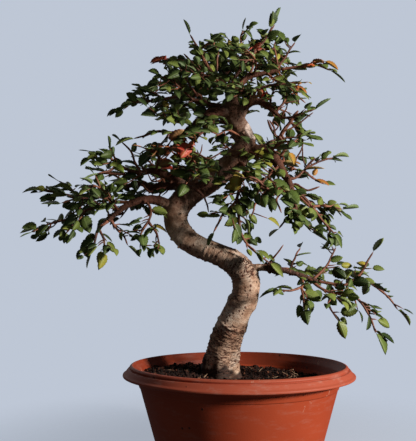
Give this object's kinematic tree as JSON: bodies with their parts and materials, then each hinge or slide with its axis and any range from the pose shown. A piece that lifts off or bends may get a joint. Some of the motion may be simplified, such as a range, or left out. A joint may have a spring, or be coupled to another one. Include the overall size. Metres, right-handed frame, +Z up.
{
  "type": "chinese elm bonsai in a bowl",
  "caption": "Chinese elm bonsai with a bare S-curved trunk and fine twigs of small serrated leaves, standing in soil in a round tapered plastic bowl with a flared lip.",
  "frame": {"origin": "centre of the bowl's flat base, on the surface that the bowl stands on", "axes": "+Z up; +X to the right and +Y away as seen from the front, where the lower trunk leans right, then bends left and back over the bowl"},
  "size_m": [0.3314, 0.18, 0.3732],
  "materials": {
    "pot_plastic": "satin",
    "potting_soil": "matte",
    "bark": "matte",
    "leaf_green": "satin",
    "leaf_yellow": "satin",
    "leaf_red": "satin"
  },
  "bodies": {
    "root": {"pot": "pot_plastic", "soil": "potting_soil", "trunk": "bark", "low_left_tip": "leaf_green", "low_left_down": "leaf_green", "low_left_twig": "leaf_green", "low_left_up": "leaf_green", "low_left_hang": "leaf_green", "mid_left_tip": "leaf_green", "mid_left_back": "leaf_green", "mid_left_under": "leaf_green", "up_left_tip": "leaf_green", "up_left_top": "leaf_green", "up_left_red": "leaf_red", "up_left_back": "leaf_green", "dark_left_tip": "leaf_green", "dark_left_top": "leaf_green", "dark_left_front": "leaf_green", "high_left_tip": "leaf_green", "high_left_front": "leaf_green", "high_left_back": "leaf_green", "top_left_tip": "leaf_green", "top_left_side": "leaf_green", "top_left_front": "leaf_green", "apex_tip": "leaf_green", "top_right_tip": "leaf_green", "top_right_up": "leaf_green", "top_right_under": "leaf_green", "top_right_front": "leaf_green", "top_back": "leaf_green", "high_right_tip": "leaf_green", "high_right_up": "leaf_green", "high_right_back": "leaf_green", "high_right_front": "leaf_green", "mid_right_tip": "leaf_green", "mid_right_out": "leaf_green", "mid_right_up": "leaf_green", "mid_right_front": "leaf_green", "mid_right_over": "leaf_green", "mid_right_back": "leaf_green", "trunk_back_low": "leaf_green", "trunk_back": "leaf_green", "trunk_back_high": "leaf_green", "front_hang": "leaf_green", "front_left": "leaf_green", "front_yellow": "leaf_yellow", "front_crown": "leaf_green", "low_right_tip": "leaf_green", "low_right_down": "leaf_green", "low_right_under": "leaf_green", "low_right_up": "leaf_green", "low_right_back": "leaf_green"}
  },
  "joints": []
}
